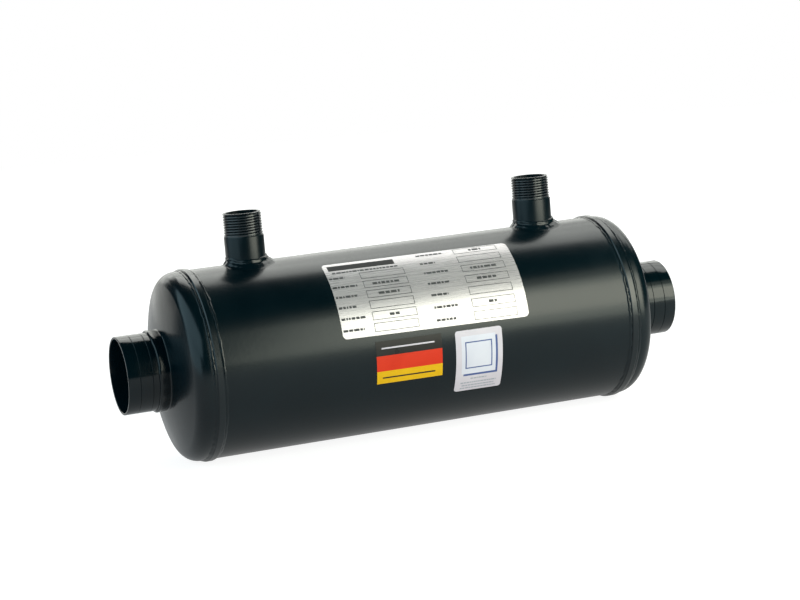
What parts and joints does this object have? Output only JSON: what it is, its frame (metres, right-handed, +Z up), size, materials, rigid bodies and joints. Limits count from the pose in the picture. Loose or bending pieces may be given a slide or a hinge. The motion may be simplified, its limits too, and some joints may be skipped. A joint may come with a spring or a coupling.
{
  "type": "shell and tube heat exchanger",
  "caption": "Horizontal shell and tube heat exchanger: black painted barrel with dished ends, a plain water port at each end and threaded heating nipples on top.",
  "frame": {"origin": "centre of the left water port's rim, on the barrel's axis", "axes": "+X along the barrel from the left port to the right port, +Z up along the heating nipples"},
  "size_m": [0.405, 0.1314, 0.1651],
  "materials": {
    "black_paint": "satin black paint",
    "bundle_steel": "drawn stainless tube",
    "plate_foil": "silver foil with thin dark rules",
    "stripe_film": "printed colour bands",
    "panel_film": "white film with a pale blue panel"
  },
  "bodies": {
    "root": {"shell": "black_paint", "left_tube_sheet": "black_paint", "right_tube_sheet": "black_paint", "left_head": "black_paint", "right_head": "black_paint", "left_water_port": "black_paint", "right_water_port": "black_paint", "left_port_weld": "black_paint", "right_port_weld": "black_paint", "left_shell_weld": "black_paint", "right_shell_weld": "black_paint", "left_head_weld": "black_paint", "right_head_weld": "black_paint", "left_heating_nipple": "black_paint", "right_heating_nipple": "black_paint", "left_nipple_weld": "black_paint", "right_nipple_weld": "black_paint", "tube_01": "bundle_steel", "tube_02": "bundle_steel", "tube_03": "bundle_steel", "tube_04": "bundle_steel", "tube_05": "bundle_steel", "tube_06": "bundle_steel", "tube_07": "bundle_steel", "tube_08": "bundle_steel", "tube_09": "bundle_steel", "tube_10": "bundle_steel", "tube_11": "bundle_steel", "tube_12": "bundle_steel", "tube_13": "bundle_steel", "tube_14": "bundle_steel", "tube_15": "bundle_steel", "tube_16": "bundle_steel", "tube_17": "bundle_steel", "tube_18": "bundle_steel", "tube_19": "bundle_steel"}
  },
  "joints": []
}
